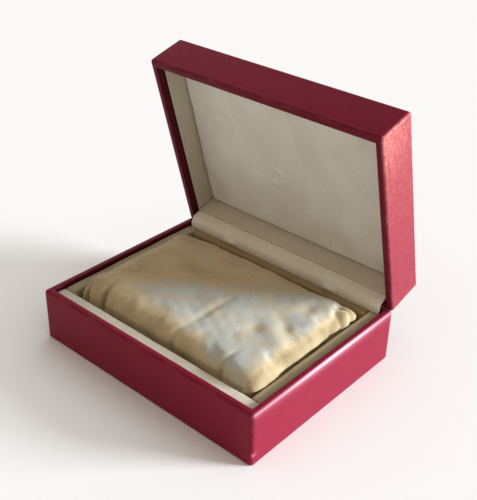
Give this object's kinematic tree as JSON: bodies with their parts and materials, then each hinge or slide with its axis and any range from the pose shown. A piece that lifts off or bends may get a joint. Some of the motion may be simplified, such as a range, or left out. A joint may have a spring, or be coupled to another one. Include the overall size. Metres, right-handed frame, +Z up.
{
  "type": "presentation box",
  "caption": "Red leatherette presentation box with a hinged lid open on its stop, pale cloth and satin linings and a soft velour cushion in the base.",
  "frame": {"origin": "middle of the underside, on the surface the box stands on", "axes": "+X along the width, to the right seen from the front; the open front faces -Y and the hinges are at +Y; +Z up"},
  "size_m": [0.15, 0.1373, 0.1469],
  "materials": {
    "leatherette": "satin, fine grain",
    "board": "matt greyboard",
    "underside_paper": "matt coated paper",
    "lining_cloth": "matt cloth on card",
    "satin": "soft satin on card",
    "velour": "short-pile velour",
    "nickel": "nickel plated",
    "spring_steel": "tempered strip"
  },
  "bodies": {
    "base": {"base_core": "board", "base_wrap": "leatherette", "base_bottom_sheet": "underside_paper", "base_floor_card": "lining_cloth", "base_liner_front": "lining_cloth", "base_liner_left": "lining_cloth", "base_liner_right": "lining_cloth", "base_liner_back": "lining_cloth", "cushion": "velour", "hinge_cover_strip": "lining_cloth", "left_hinge_base_leaf": "nickel", "left_hinge_pin": "nickel", "left_hinge_spring": "spring_steel", "left_hinge_base_tack_outer": "nickel", "left_hinge_base_tack_inner": "nickel", "right_hinge_base_leaf": "nickel", "right_hinge_pin": "nickel", "right_hinge_spring": "spring_steel", "right_hinge_base_tack_outer": "nickel", "right_hinge_base_tack_inner": "nickel"},
    "lid": {"lid_core": "board", "lid_wrap": "leatherette", "lid_liner_left": "satin", "lid_liner_right": "satin", "lid_liner_front": "satin", "lid_liner_hinge_side": "satin", "lid_panel": "satin", "left_hinge_lid_leaf": "nickel", "left_hinge_lid_tack_outer": "nickel", "left_hinge_lid_tack_inner": "nickel", "right_hinge_lid_leaf": "nickel", "right_hinge_lid_tack_outer": "nickel", "right_hinge_lid_tack_inner": "nickel"}
  },
  "joints": [
    {"name": "lid_hinge", "type": "hinge", "parent": "base", "child": "lid", "pos_m": [0, 0.05635, 0.03115], "axis": [1, 0, 0], "range_deg": [0, 74], "deforming": ["hinge_cover_strip"]}
  ]
}
